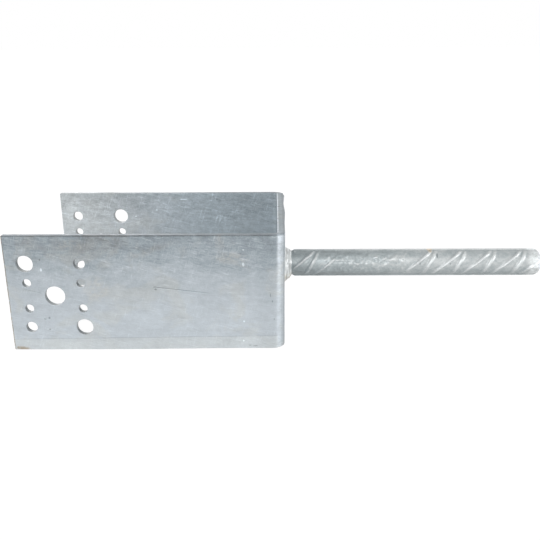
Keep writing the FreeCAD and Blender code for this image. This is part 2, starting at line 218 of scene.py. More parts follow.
FACE_ROWS = spaced(-(HALF_STRIP - EDGE_ROUND), HALF_STRIP - EDGE_ROUND, FACE_STEP)


def rounded_wall(radius):
    """(inset, depth) through the wall, from the outer face to the inner one, round a soft corner at each."""
    steps = [math.pi / 2 * k / ROUND_STEPS for k in range(ROUND_STEPS + 1)]
    near = [(radius * (1 - math.sin(t)), radius * (1 - math.cos(t))) for t in steps]
    far = [(inset, WALL - depth) for inset, depth in reversed(near)]
    middle = [(0.0, WALL * share) for share in (0.35, 0.5, 0.65)]
    return near + middle + far


def flange_outline():
    """(x, z, normal x, normal z) along a flange's free rim: bottom edge, tip and top edge."""
    quarter = [math.pi / 2 * k / 6 for k in range(1, 7)]
    corner_x = TIP_X + CORNER_ROUND
    corner_z = HALF_STRIP - CORNER_ROUND
    rim = [(x, -HALF_STRIP, 0.0, -1.0) for x in spaced(FOLD_X, corner_x, FACE_STEP)]
    for t in quarter:
        nx, nz = -math.sin(t), -math.cos(t)
        rim.append((corner_x + nx * CORNER_ROUND, -corner_z + nz * CORNER_ROUND, nx, nz))
    rim += [(TIP_X, z, -1.0, 0.0) for z in spaced(-corner_z, corner_z, FACE_STEP)[1:]]
    for t in quarter:
        nx, nz = -math.cos(t), math.sin(t)
        rim.append((corner_x + nx * CORNER_ROUND, corner_z + nz * CORNER_ROUND, nx, nz))
    rim += [(x, HALF_STRIP, 0.0, 1.0) for x in spaced(corner_x, FOLD_X, FACE_STEP)[1:]]
    return rim


def hole_group(side):
    """(x, z, radius) of a flange's nine holes. The large ones lie on one diagonal, which side turns over."""
    holes = [(GROUP_X, GROUP_Z, CENTRE_HOLE)]
    for column in (-1, 1):
        for row in (-1, 1):
            large = column * row * side > 0
            x = GROUP_X + column * COLUMN
            z = GROUP_Z - REAR_DROP * (side > 0)
            holes.append((x, z + row * OUTER_ROW, LARGE_HOLE if large else MEDIUM_HOLE))
            holes.append((x, z + row * INNER_ROW, SMALL_HOLE))
    return holes


def hole_circle(x, z, radius):
    """A punched hole's outline: nearly round."""
    ring = []
    for t in all_round(max(28, int(radius * 8))):
        uneven = noise.noise((x + 1.7 * math.cos(t), z + 1.7 * math.sin(t), radius))
        rough = radius + 0.07 * uneven
        ring.append((x + rough * math.cos(t), z + rough * math.sin(t)))
    return ring


def doubled_area(outline):
    """Twice the area inside an outline, below 0 where it runs clockwise."""
    return sum(a.x * b.y - b.x * a.y for a, b in zip(outline, outline[1:] + outline[:1]))


def fill_face(shell, boundary, holes, y):
    """Triangles over a flange's face, round its holes. A hole is its rim, its middle and its reach."""
    flat = [Vector(point) for point in boundary]
    edges = [(i, (i + 1) % len(flat)) for i in range(len(flat))]
    loop = list(range(len(flat)))
    if doubled_area(flat) < 0:
        loop.reverse()
    for rim, _, _, _ in holes:
        first = len(flat)
        flat += [Vector(point) for point in rim]
        edges += [(first + i, first + (i + 1) % len(rim)) for i in range(len(rim))]
    for x in spaced(TIP_X + 4, FOLD_X - 3, 4.5):
        for z in spaced(-HALF_STRIP + 4, HALF_STRIP - 4, 4.5):
            if all(math.hypot(x - hx, z - hz) > reach + 1.6 for _, hx, hz, reach in holes):
                flat.append(Vector((x, z)))
    points, _, faces, _, _, _ = delaunay_2d_cdt(flat, edges, [loop], 1, 1e-5)
    row = shell.row([(p.x, y, p.y) for p in points])
    for face in faces:
        middle = sum((points[i] for i in face), Vector((0, 0))) / len(face)
        in_hole = any(
            math.hypot(middle.x - hx, middle.y - hz) < reach * 0.997 for _, hx, hz, reach in holes
        )
        if not in_hole:
            shell.faces.append(tuple(row[i] for i in face))


def add_hole(shell, side, hx, hz, radius):
    """A punched hole's wall. It gives back the outer and inner rim, for filling the faces round them."""
    circle = hole_circle(hx, hz, radius)
    rings = []
    for inset, depth in rounded_wall(HOLE_ROUND):
        widen = 1 + (inset + HOLE_FLARE * smooth(depth, 2.0, WALL)) / radius
        y = side * (FLANGE_OUT - depth)
        rings.append([(hx + (x - hx) * widen, y, hz + (z - hz) * widen) for x, z in circle])
    shell.rings(rings, closed=True)
    outer_rim = [(x, z) for x, _, z in rings[0]]
    inner_rim = [(x, z) for x, _, z in rings[-1]]
    reach = radius + HOLE_ROUND
    return (outer_rim, hx, hz, reach), (inner_rim, hx, hz, reach + HOLE_FLARE)


def add_flange(shell, side):
    """One flange: free rim, punched holes, outer and inner face."""
    edge = rounded_wall(EDGE_ROUND)
    outline = flange_outline()
    shell.rings([
        [(x - nx * inset, side * (FLANGE_OUT - depth), z - nz * inset) for inset, depth in edge]
        for x, z, nx, nz in outline
    ])
    holes = [add_hole(shell, side, *hole) for hole in hole_group(side)]
    boundary = [(x - nx * EDGE_ROUND, z - nz * EDGE_ROUND) for x, z, nx, nz in outline]
    boundary += [(FOLD_X, z) for z in reversed(FACE_ROWS[1:-1])]
    fill_face(shell, boundary, [outer for outer, _ in holes], side * FLANGE_OUT)
    fill_face(shell, boundary, [inner for _, inner in holes], side * FLANGE_IN)


def strip_section():
    """(depth, z) round the strip's section: up its outer face, over the top edge, down and back below."""
    edge = rounded_wall(EDGE_ROUND)
    section = [(0.0, z) for z in FACE_ROWS]
    section += [(depth, HALF_STRIP - inset) for inset, depth in edge[1:]]
    section += [(WALL, z) for z in reversed(FACE_ROWS[:-1])]
    section += [(depth, -HALF_STRIP + inset) for inset, depth in reversed(edge[1:-1])]
    return section


def add_folds_and_web(shell):
    """The two folds and the web between them, swept from flange to flange."""
    quarter = [math.radians(degrees) for degrees in range(0, 91, 6)]
    stations = [(-FOLD_Y, math.sin(t), -math.cos(t)) for t in quarter]
    stations += [(y, 1.0, 0.0) for y in spaced(-FOLD_Y, FOLD_Y, 3.0)[1:-1]]
    stations += [(FOLD_Y, math.cos(t), math.sin(t)) for t in quarter]
    section = strip_section()
    rings = []
    for centre_y, nx, ny in stations:
        rings.append([
            (FOLD_X + nx * (FOLD_OUT - depth), centre_y + ny * (FOLD_OUT - depth), z)
            for depth, z in section
        ])
    shell.rings(rings, closed=True)


def edge_dip(x, y, z):
    """How far the strip's long edges fall short: most along the rear top and the front bottom edge."""
    up = math.copysign(1.0, z)
    run = (x + y) / 17
    dip = 0.10 + 0.09 * noise.noise((run, up * 3, 0.4)) + 0.05 * noise.noise((run * 6, up, 2.4))
    if y > FLANGE_IN - 2 and z > 0:
        dip += 0.3 * (1 - bell(x, -158, 12))
    if y < 0 and z < 0:
        dip += 0.7 * smooth(x, -120, -30)
    return max(0.0, dip) * smooth(abs(z), 37, HALF_STRIP)


def run_off(x, y, z):
    """How thick the zinc lies that ran over the web's outer face and set there."""
    thick = 0.3 + 0.3 * smooth(z, 15, 40)
    thick += 0.8 * smooth(z, 30, 44) * bell(y, -5, 34)
    thick += 1.0 * smooth(z, 36, 43) * bell(y, 57, 8)
    thick += 0.08 * noise.noise((y / 9, z / 9, 1.3))
    return thick * smooth(x, 0.5, 4.5)


def worn_strip(point):
    """The strip's small faults: edges and faces that are not quite straight, and zinc that ran and set."""
    x, y, z = point
    tip_dip = 0.10 + 0.09 * noise.noise((z / 11, y / 20, 5.1))
    lean = 0.04 * noise.noise((x / 55, z / 40, y / 90))
    limit = FLANGE_OUT - 0.02
    return (
        x + tip_dip * smooth(x, TIP_X + 8, TIP_X) + run_off(x, y, z),
        max(-limit, min(limit, y + lean)),
        z - math.copysign(edge_dip(x, y, z), z),
    )


def make_u_bracket(material):
    """The folded strip: two punched flanges, two folds and the web."""
    shell = Shell()
    add_flange(shell, -1)
    add_flange(shell, 1)
    add_folds_and_web(shell)
    return shell.build("u_bracket_zinc", "u_bracket", material, worn_strip)


# ---- the bar and its weld


def round_axis(x, radius, angle):
    """A point round the dowel's axis. The angle is 0 to the front and goes up from there."""
    return (x, -radius * math.cos(angle), radius * math.sin(angle))


def rubbed(x):
    """1 along the stretch where the front row of ribs is rubbed down, and 0 beyond it."""
    return smooth(x, 41, 48) * smooth(x, 112, 102)


def rib_lift(x, turn, front):
    """How far the surface stands over the bar's core. turn is the angle from the crown of the rib row."""
    across = CORE * math.sin(turn)
    fade = max(0.0, (math.cos(turn) - math.cos(RIB_SWEEP)) / (1 - math.cos(RIB_SWEEP))) ** 0.7
    kept = 1 - 0.9 * rubbed(x) if front else 1.0
    rise = 0.0
    hollow = 0.0
    for rib in (SHALLOW_RIB, STEEP_RIB):
        middle = WEB_OUT + RIB_START + rib.share * RIB_PITCH + across / math.tan(rib.angle)
        pitches = (x + FAR_SHIFT * smooth(x, 60, 100) - middle) / RIB_PITCH
        past = (pitches - round(pitches)) * RIB_PITCH
        rise = max(rise, rib.height * fade * kept * smooth(abs(past), RIB_FOOT, RIB_CREST))
        shown = smooth(turn, -0.1, 0.5) if rib is SHALLOW_RIB else kept
        hollow = max(hollow, rib.hollow * fade * shown * bell(past, rib.hollow_at, rib.hollow_reach))
    from_seam = CORE * math.cos(turn)
    rise = max(rise, (RIB_HEIGHT - 0.1) * smooth(from_seam, 2.3, 0.8))
    return rise - hollow * max(0.0, 1 - rise / 0.15)


def bar_radius(x, angle):
    """The zinc's outer radius at a place along the bar and an angle round it."""
    turn = angle - ROW_TURN
    front = math.cos(turn) > 0
    if not front:
        turn += math.pi
    turn = math.atan2(math.sin(turn), math.cos(turn))
    radius = CORE + smooth(x, WEB_OUT + 7, WEB_OUT + 10) * rib_lift(x, turn, front)
    around = Vector((x, -9 * math.cos(angle), 9 * math.sin(angle)))
    radius += 0.07 * noise.noise(around / 4.3) + 0.04 * noise.noise(around / 1.6)
    if front:
        lumpy = smooth(x, 36, 44) * smooth(x, 110, 102) * smooth(abs(turn), 1.0, 0.5)
        radius += 0.9 * lumpy * max(0.0, noise.noise(around / 3.0 + Vector((9, 4, 1))))
        radius += 0.3 * lumpy * noise.noise(around / 1.7)
    spatter = bell(x, 14.6, 1.6) * bell(angle, math.radians(80), 0.35)
    radius += 0.7 * spatter
    past = max(0.0, x - (BAR_END - END_ROUND))
    limit = CORE + RIB_HEIGHT - END_ROUND + math.sqrt(max(0.0, END_ROUND ** 2 - past ** 2))
    return min(radius, limit)


def end_face(share, angle):
    """X of the cropped end, which is uneven and slightly dished. share is 0 at the axis and 1 at the rim."""
    uneven = noise.noise((share * 9, 3 * math.cos(angle), 3 * math.sin(angle)))
    return BAR_END - 0.25 * (1 - share) - 0.1 + 0.1 * uneven


def make_anchor_dowel(material):
    """The rolled bar as a fine height field round its axis, closed at both ends."""
    angles = all_round(BAR_SIDES)
    places = spaced(WEB_OUT, BAR_END - END_ROUND, BAR_STEP)
    places += [BAR_END - END_ROUND * (1 - math.sin(math.pi / 2 * k / 8)) for k in range(1, 9)]
    rings = [[round_axis(WEB_OUT, CORE - 4, a) for a in angles]]
    rings += [[round_axis(x, bar_radius(x, a), a) for a in angles] for x in places]
    end_radius = CORE + RIB_HEIGHT - END_ROUND
    for share in (0.86, 0.7, 0.5, 0.3, 0.12):
        rings.append([round_axis(end_face(share, a), end_radius * share, a) for a in angles])
    shell = Shell()
    rows = shell.rings(rings, closed=True)
    shell.faces.append(tuple(rows[-1]))
    shell.faces.append(tuple(reversed(rows[0])))
    return shell.build("anchor_dowel_zinc", "anchor_dowel", material)


def weld_radius(share, angle):
    """Outer radius of the bead: share 0 is against the web, and share 1 is its toe on the bar."""
    below = smooth(math.sin(angle), 0.2, -0.8)
    hollow = 1.7 - 0.75 * below
    spot = Vector((share * 1.6, 5 * math.cos(angle), 5 * math.sin(angle)))
    height = (WELD_RADIUS - CORE) * (0.92 + 0.3 * below) * (1 - share) ** hollow
    height += 0.75 * bell(share, 0.72, 0.3)
    height += 0.3 * noise.noise(spot) * smooth(share, 0.0, 0.3)
    height += 0.08 * math.sin(angle * 30 + 3 * noise.noise(spot / 2)) * bell(share, 0.45, 0.5)
    return CORE - 0.3 + max(0.0, height) + 0.3 * (1 - share)


def weld_reach(angle):
    """How far the bead's uneven toe lies from the web."""
    return WELD_REACH + 0.5 * noise.noise((3 * math.cos(angle), 3 * math.sin(angle), 7.7))


def make_weld_bead(material):
    """A hand-laid bead: hollow on top, fuller below, with ripples and a soft lip near its toe."""
    angles = all_round(WELD_SIDES)
    rings = []
    for share in [k / WELD_STEPS for k in range(WELD_STEPS + 1)]:
        rings.append([
            round_axis(WELD_START + weld_reach(a) * share, weld_radius(share, a), a) for a in angles
        ])
    rings.append([round_axis(WELD_BORE_END, WELD_BORE, a) for a in angles])
    rings.append([round_axis(WELD_START, WELD_BORE, a) for a in angles])
    shell = Shell()
    rows = shell.rings(rings, closed=True)
    shell.bridge(rows[-1], rows[0], closed=True)
    return shell.build("weld_bead_zinc", "weld_bead", material)


# ---------------------------------------------------------------- materials


METALLIC = 0.3


class Zinc:
    """A metal material whose colour, roughness and relief are worked out from the place, in millimetres."""

    def __init__(self, name):
        self.material = bpy.data.materials.new(name)
        self.material.use_nodes = True
        self.nodes = self.material.node_tree.nodes
        self.links = self.material.node_tree.links
        self.surface = self.nodes["Principled BSDF"]
        self.surface.inputs["Metallic"].default_value = METALLIC
        metres = self.nodes.new("ShaderNodeTexCoord").outputs["Object"]
        self.place = self.scaled(metres, 1 / MM)
        split = self.nodes.new("ShaderNodeSeparateXYZ")
        self.links.new(self.place, split.inputs[0])
        self.x, self.y, self.z = split.outputs

    def feed(self, socket, value):
        """Link an output to a socket, or write a plain number into it."""
        if isinstance(value, bpy.types.NodeSocket):
            self.links.new(value, socket)
        elif value is not None:
            socket.default_value = value

    def math(self, operation, one, other=None):
        """One or two sockets or plain numbers put through a math operation."""
        node = self.nodes.new("ShaderNodeMath")
        node.operation = operation
        self.feed(node.inputs[0], one)
        self.feed(node.inputs[1], other)
        return node.outputs[0]

    def times(self, *factors):
        """The product of sockets and plain numbers."""
        product = factors[0]
        for factor in factors[1:]:
            product = self.math("MULTIPLY", product, factor)
        return product

    def plus(self, *terms):
        """The sum of sockets and plain numbers."""
        total = terms[0]
        for term in terms[1:]:
            total = self.math("ADD", total, term)
        return total

    def any_of(self, *marks):
        """The strongest of some marks at each place."""
        strongest = marks[0]
        for mark in marks[1:]:
            strongest = self.math("MAXIMUM", strongest, mark)
        return strongest

    def away(self, value, middle=0.0):
        """Distance from a middle."""
        return self.math("ABSOLUTE", self.plus(value, -middle))

    def scaled(self, vector, factor):
        """A vector or a colour times a factor."""
        node = self.nodes.new("ShaderNodeVectorMath")
        node.operation = "SCALE"
        self.feed(node.inputs[0], vector)
        self.feed(node.inputs["Scale"], factor)
        return node.outputs[0]

    def slope(self, value, start, end, at_start=0.0, at_end=1.0, soft=False):
        """Goes from at_start to at_end while the value goes from start to end, and is level outside."""
        node = self.nodes.new("ShaderNodeMapRange")
        node.interpolation_type = "SMOOTHSTEP" if soft else "LINEAR"
        if start > end:
            start, end, at_start, at_end = end, start, at_end, at_start
        self.feed(node.inputs["Value"], value)
        node.inputs["From Min"].default_value = start
        node.inputs["From Max"].default_value = end
        node.inputs["To Min"].default_value = at_start
        node.inputs["To Max"].default_value = at_end
        return node.outputs["Result"]

    def step(self, value, start, end, top=1.0):
        """A soft step from 0 at start to top at end."""
        return self.slope(value, start, end, 0.0, top, soft=True)

    def grain(self, place, size, turn=0.0, detail=3.0, rough=0.55, warp=0.0):
        """Noise from about 0.3 to 0.7 with cells of a given size, turned about Y by some degrees."""
        cells = self.nodes.new("ShaderNodeMapping")
        cells.vector_type = "TEXTURE"
        self.feed(cells.inputs["Vector"], place)
        cells.inputs["Rotation"].default_value = (0.0, math.radians(turn), 0.0)
        cells.inputs["Scale"].default_value = size
        node = self.nodes.new("ShaderNodeTexNoise")
        self.feed(node.inputs["Vector"], cells.outputs[0])
        node.inputs["Scale"].default_value = 1.0
        node.inputs["Detail"].default_value = detail
        node.inputs["Roughness"].default_value = rough
        node.inputs["Distortion"].default_value = warp
        return node.outputs["Fac"]

    def swing(self, noise_value, amount):
        """Noise turned into a change to both sides of 0."""
        return self.times(self.plus(noise_value, -0.5), amount)

    def spot(self, x, z, reach_x, reach_z=None, soft=0.5):
        """1 inside a small oval mark on a face that is seen along Y."""
        dx = self.times(self.plus(self.x, -x), 1 / reach_x)
        dz = self.times(self.plus(self.z, -z), 1 / (reach_z or reach_x))
        return self.step(self.plus(self.times(dx, dx), self.times(dz, dz)), 1 + soft, 1 - soft)

    def spots(self, marks):
        """1 inside any of a list of marks, each given as spot takes it."""
        return self.any_of(*(self.spot(*mark) for mark in marks))

    def tint(self, share, colour, over):
        """Mix a colour over another one by a share."""
        node = self.nodes.new("ShaderNodeMix")
        node.data_type = "RGBA"
        self.feed(node.inputs["Factor"], share)
        for socket, value in ((node.inputs["A"], over), (node.inputs["B"], colour)):
            if isinstance(value, tuple):
                value = value + (1.0,)
            self.feed(next(s for s in node.inputs if s.identifier == f"{socket.name}_Color"), value)
        return next(s for s in node.outputs if s.identifier == "Result_Color")

    def lit(self, tone, hue):
        """A hue at a lightness: 0 is black and 1 is white, evenly spaced to the eye."""
        return self.scaled(hue, self.math("POWER", tone, 2.2))

    def relief(self, height, strength, depth, under=None):
        """A bumpy normal, laid over the one under it."""
        node = self.nodes.new("ShaderNodeBump")
        node.inputs["Strength"].default_value = strength
        node.inputs["Distance"].default_value = depth * MM
        self.feed(node.inputs["Height"], height)
        self.feed(node.inputs["Normal"], under)
        return node.outputs[0]

    def finish(self, tone, hue, roughness, normal):
        """Feed the surface and return the material."""
        self.feed(self.surface.inputs["Base Color"], self.lit(tone, hue))
        self.feed(self.surface.inputs["Roughness"], roughness)
        self.feed(self.surface.inputs["Normal"], normal)
        return self.material


# Hues of zinc at full lightness.
COLD = (0.865, 1.0, 1.09)
COOL = (0.915, 1.0, 1.07)
PLAIN = (0.94, 1.0, 1.02)
WARM = (0.99, 1.0, 0.96)
RUSTY = (1.15, 1.0, 0.80)
BAR_DULL = (0.89, 1.0, 1.03)
BAR_BRIGHT = (0.955, 1.0, 1.005)
WELD_BRIGHT = (0.965, 1.0, 1.0)
WELD_BURN = (1.06, 1.0, 0.84)

# Marks on the strip, each as x, z and reach. An oval one also has its reach along z, and some their softness.
FRONT_FLECKS = (
    (-24.9, 33.8, 0.7), (-25.1, 22.6, 0.8, 1.5), (-25.2, -22.1, 0.7), (-25.8, -37.9, 0.7),
    (-173.2, 18.9, 0.8, 1.2),
)
REAR_FLECKS = ((-86, 38.7, 3.4, 0.5), (-111.3, 28.8, 0.7, 1.0), (-130.9, 23.0, 0.9, 0.5))
REAR_SCUFF = (-52.5, 20.5, 5, 4, 0.9)
FRONT_PITS = (
    (-173.4, 26.7, 0.5, 0.9), (-174.4, -19.8, 1.0, 0.5), (-171.0, -18.9, 0.8, 0.9),
    (-171.5, -28.2, 0.8, 0.6), (-90.1, 3.5, 0.9, 0.8), (-90.5, 5.3, 1.3, 0.5),
    (-5.3, -1.3, 0.4, 1.4), (-3.9, -6.2, 0.4, 0.9), (-2.6, -20.4, 0.4, 0.8),
    (-16.9, -42.3, 1.8, 0.5), (-21.0, -41.8, 0.9, 0.4),
)
FRONT_STAIN = (-196, -44.5, 7, 2.2, 0.9)
WARM_PATCHES = ((-133.7, 3.7, 9, 9, 0.95), (-149.6, 37.6, 12, 4, 0.95), (-33.5, 27.5, 12, 4, 0.95))

# Marks on the bar.
BAR_PITS = ((132.4, 7.4, 0.6, 1.4), (118.1, 1.5, 0.6), (142.9, 1.4, 0.6), (103.9, 5.0, 0.6))
BAR_RUST = (127.2, 11.0)


def plate_grains(zinc):
    """The noises that the strip's look is made of. Some are drawn out along the strip and its folds."""
    joined = zinc.nodes.new("ShaderNodeCombineXYZ")
    zinc.feed(joined.inputs[0], zinc.plus(zinc.x, zinc.y))
    zinc.feed(joined.inputs[1], zinc.times(zinc.y, 0.3))
    zinc.feed(joined.inputs[2], zinc.z)
    along = joined.outputs[0]
    return SimpleNamespace(
        clouds=zinc.grain(zinc.place, (24, 24, 15), detail=5, rough=0.6, warp=0.8),
        mottle=zinc.grain(zinc.place, (5, 5, 4), detail=4, rough=0.65, warp=0.5),
        streaks=zinc.grain(along, (26, 26, 2.4), detail=4, rough=0.65, warp=0.4),
        ragged=zinc.grain(along, (9, 9, 2.2), turn=6, detail=5, rough=0.7, warp=1.2),
        falling=zinc.grain(along, (13, 13, 0.7), turn=16, detail=2, rough=0.6, warp=0.3),
        upright=zinc.grain(along, (12, 12, 0.8), turn=-72, detail=2, rough=0.6, warp=0.3),
        speckle=zinc.grain(zinc.place, (1.1, 1.1, 1.1), detail=2, rough=0.6),
        dry=zinc.grain(zinc.place, (30, 30, 22), detail=4, warp=1.0),
    )


def plate_faces(zinc):
    """Shares that are 1 on a face: front is the front flange's outer one, rear the rear flange's inner."""
    x, y, z = zinc.x, zinc.y, zinc.z
    front = zinc.step(y, -FLANGE_OUT + 1.5, -FLANGE_OUT + 0.5)
    rear = zinc.times(
        zinc.step(y, FLANGE_IN - 4, FLANGE_IN - 0.5), zinc.step(y, FLANGE_IN + 2.5, FLANGE_IN + 1.5)
    )
    inside_wall = zinc.step(zinc.away(zinc.away(y), FLANGE_OUT - WALL / 2), 2.2, 1.7)
    hole_wall = zinc.times(
        inside_wall, zinc.step(zinc.away(z), HALF_STRIP - 9, HALF_STRIP - 10),
        zinc.step(x, TIP_X + 4, TIP_X + 5), zinc.step(x, -50, -60),
    )
    other = zinc.plus(1.0, zinc.times(zinc.plus(front, rear), -1.0))
    return SimpleNamespace(
        front=front, rear=rear, other=other, hole_wall=hole_wall,
        top=zinc.step(z, HALF_STRIP - 1.5, HALF_STRIP - 0.4),
        web_outer=zinc.step(x, WEB_OUT - 1.4, WEB_OUT - 0.6),
    )


def plate_ground(zinc, grain, face):
    """Each face's lightness with its clouds, streaks and criss-cross scratches, and painted shade on the
    flanges.
    """
    x, z = zinc.x, zinc.z
    # Painted shade: the front face darker towards its top and lighter towards its bottom.
    front_tone = zinc.plus(zinc.slope(z, 42, -18, 0.655, 0.765), zinc.slope(z, -18, -45, 0.0, 0.015))
    # Painted shade: the rear face darker towards the web, deep in the U. It is also a little darker towards
    # its top.
    rear_tone = zinc.plus(zinc.slope(x, -190, -30, 0.775, 0.690), zinc.slope(z, 45, 18, -0.02, 0.02))
    texture = zinc.plus(
        zinc.swing(grain.clouds, 0.16), zinc.swing(grain.mottle, 0.13), zinc.swing(grain.streaks, 0.10),
        zinc.swing(grain.ragged, 0.10), zinc.swing(grain.speckle, 0.08),
        zinc.step(grain.falling, 0.60, 0.70, 0.05), zinc.step(grain.upright, 0.60, 0.70, 0.045),
        zinc.step(grain.falling, 0.38, 0.30, -0.04),
    )
    lively = zinc.plus(0.70, zinc.step(z, 0.0, 35, 0.85), zinc.times(face.rear, 0.30))
    return zinc.plus(
        zinc.times(face.front, front_tone), zinc.times(face.rear, rear_tone),
        zinc.times(face.other, 0.73), zinc.times(texture, lively),
    )


def plate_band(zinc, grain, face):
    """The dull band with a ragged lower edge, along the front face's top."""
    height = zinc.plus(zinc.z, zinc.swing(grain.ragged, 22), zinc.swing(grain.clouds, 30))
    return zinc.times(face.front, zinc.step(height, 26, 40), zinc.slope(zinc.x, -60, -140, 0.35, 1.0))


def plate_shades(zinc, grain, face, band):
    """Changes of lightness: the band, painted shade in the U, on the web, hole walls and top edges, and the
    fold's painted highlight.
    """
    x, y, z = zinc.x, zinc.y, zinc.z
    # Painted shade deep in the U: the rear face darker towards the web, in clouds.
    painted_shade_in_u = zinc.times(face.rear, zinc.step(x, -150, -30), zinc.step(grain.clouds, 0.40, 0.58))
    # Painted highlight: a bright band down the front fold.
    painted_fold_highlight = zinc.times(zinc.step(y, -64, -68), zinc.step(zinc.away(x, 1.0), 2.4, 0.4))
    return zinc.plus(
        zinc.times(band, zinc.slope(x, -180, -140, 0.0, -0.058)),
        # Painted shade: the front face darker towards its top.
        zinc.times(face.front, zinc.step(z, 12, 26, -0.035)),
        zinc.times(face.rear, zinc.slope(x, -150, -100, -0.022, 0.0)),
        zinc.times(painted_shade_in_u, -0.055),
        zinc.times(painted_fold_highlight, zinc.plus(0.08, zinc.swing(grain.mottle, 0.10))),
        zinc.times(face.front, zinc.step(zinc.away(x, -8.5), 9, 3, -0.028)),
        # Painted shade on the web's outer face, the hole walls and the top edges.
        zinc.times(face.web_outer, -0.06),
        zinc.times(face.hole_wall, -0.10),
        zinc.times(face.top, zinc.slope(y, -71, -68, -0.17, -0.085)),
    )


def plate_lower_stripe(zinc, grain, face):
    """A thin dark line low on the front face, and the slightly lighter stripe below it."""
    over_line = zinc.plus(zinc.z, zinc.slope(zinc.x, -200, 0.0, 36.2, 33.8), zinc.swing(grain.streaks, 0.6))
    line = zinc.times(face.front, zinc.step(zinc.away(over_line), 0.6, 0.1))
    return line, zinc.times(face.front, zinc.step(over_line, 0.0, -0.6))


def plate_light_lines(zinc, grain, face):
    """Light lines on the top: a painted highlight along the web's inner edge, and a ragged one along the
    front flange's outer edge.
    """
    x, y, z = zinc.x, zinc.y, zinc.z
    # Painted highlight along the web's inner top edge.
    inner = zinc.times(
        face.top, zinc.step(zinc.away(x, 0.1), 1.3, 0.6), zinc.step(y, 67, 64), zinc.step(y, -68, -64),
        zinc.step(grain.mottle, 0.30, 0.42),
    )
    outer = zinc.times(
        zinc.step(z, HALF_STRIP - 1.2, HALF_STRIP - 0.4),
        zinc.step(zinc.away(y, -FLANGE_OUT + 0.5), 1.0, 0.3),
        zinc.step(x, -140, -110), zinc.step(grain.ragged, 0.36, 0.52, 0.08),
    )
    return zinc.any_of(inner, outer)


def thin_line(zinc, start, end, reach):
    """1 on a hair line on a face seen along Y: from one (x, z) to another, and level past both."""
    height = zinc.slope(zinc.x, start[0], end[0], -start[1], -end[1])
    return zinc.step(zinc.away(zinc.plus(zinc.z, height)), reach, 0.1)


def plate_dark_marks(zinc, face):
    """Pits, a long scratch, a short crack beside a hole and a dent in the web's top edge."""
    x, y = zinc.x, zinc.y
    pits = zinc.spots(FRONT_PITS)
    scratch = zinc.times(
        thin_line(zinc, (-90.5, 5.3), (-50.4, 0.4), 0.55), zinc.step(x, -91.5, -90.5), zinc.step(x, -45, -60)
    )
    crack = zinc.times(
        thin_line(zinc, (-188, 4.2), (-174, 0.6), 0.5), zinc.step(zinc.away(x, -181), 7, 5, 0.5)
    )
    dent = zinc.times(
        zinc.step(zinc.away(x, 1.2), 1.2, 0.4), zinc.step(zinc.away(y, 13.8), 3.5, 1.0)
    )
    return zinc.any_of(zinc.times(face.front, zinc.any_of(pits, scratch, crack)), zinc.times(face.top, dent))


def plate_hue(zinc, grain, face, tone, below, brown):
    """Colder where it is dark, and deep in the U with its painted shade; duller and warmer in patches, and
    brown in the stains.
    """
    x = zinc.x
    patches = zinc.times(face.front, zinc.spots(WARM_PATCHES), zinc.step(grain.mottle, 0.36, 0.6, 0.6))
    plain = zinc.any_of(below, zinc.times(face.rear, zinc.slope(x, -100, -170)))
    hue = zinc.tint(zinc.step(tone, 0.76, 0.58), COLD, COOL)
    hue = zinc.tint(zinc.step(grain.dry, 0.48, 0.64, 0.8), PLAIN, hue)
    hue = zinc.tint(patches, WARM, hue)
    hue = zinc.tint(zinc.times(plain, 0.7), PLAIN, hue)
    # Part of the painted shade deep in the U: a colder hue towards the web.
    hue = zinc.tint(zinc.times(face.rear, zinc.slope(x, -130, -60, 0.0, 0.9)), COLD, hue)
    hue = zinc.tint(zinc.times(face.hole_wall, 0.5), WARM, hue)
    return zinc.tint(brown, RUSTY, hue)


def zinc_plate():
    """The strip: dull zinc with drawn-out streaks, painted shade along its top and in the U, painted
    highlights, light lines, scratches and marks.
    """
    zinc = Zinc("zinc_plate")
    grain = plate_grains(zinc)
    face = plate_faces(zinc)
    band = plate_band(zinc, grain, face)
    line, below = plate_lower_stripe(zinc, grain, face)
    # runs holds the painted highlight along the web's inner top edge and a light line on the front top edge.
    runs = plate_light_lines(zinc, grain, face)
    dark = plate_dark_marks(zinc, face)
    flecks = zinc.any_of(
        zinc.times(face.front, zinc.spots(FRONT_FLECKS)), zinc.times(face.rear, zinc.spots(REAR_FLECKS))
    )
    scuffs = zinc.times(face.rear, zinc.spot(*REAR_SCUFF), zinc.step(grain.upright, 0.48, 0.6))
    stain = zinc.times(zinc.spot(*FRONT_STAIN), zinc.step(grain.mottle, 0.40, 0.56))
    tip = zinc.times(zinc.step(zinc.x, TIP_X + 1.2, TIP_X + 0.4), zinc.step(grain.mottle, 0.36, 0.52))
    brown = zinc.times(face.front, zinc.any_of(stain, tip))
    tone = zinc.plus(
        plate_ground(zinc, grain, face), plate_shades(zinc, grain, face, band),
        zinc.times(line, -0.05), zinc.times(below, 0.012),
        zinc.times(flecks, 0.16), zinc.times(runs, 0.20), zinc.times(scuffs, 0.10),
        zinc.times(dark, -0.13), zinc.times(brown, -0.22),
    )
    hue = plate_hue(zinc, grain, face, tone, below, brown)
    roughness = zinc.plus(0.45, zinc.swing(grain.mottle, 0.35), zinc.times(band, 0.10))
    relief = zinc.relief(grain.streaks, 0.15, 0.5)
    relief = zinc.relief(grain.mottle, 0.25, 0.4, relief)
    relief = zinc.relief(grain.speckle, 0.2, 0.12, relief)
    relief = zinc.relief(zinc.plus(flecks, runs, zinc.times(dark, -1.0)), 0.5, 0.3, relief)
    return zinc.finish(tone, hue, roughness, relief)


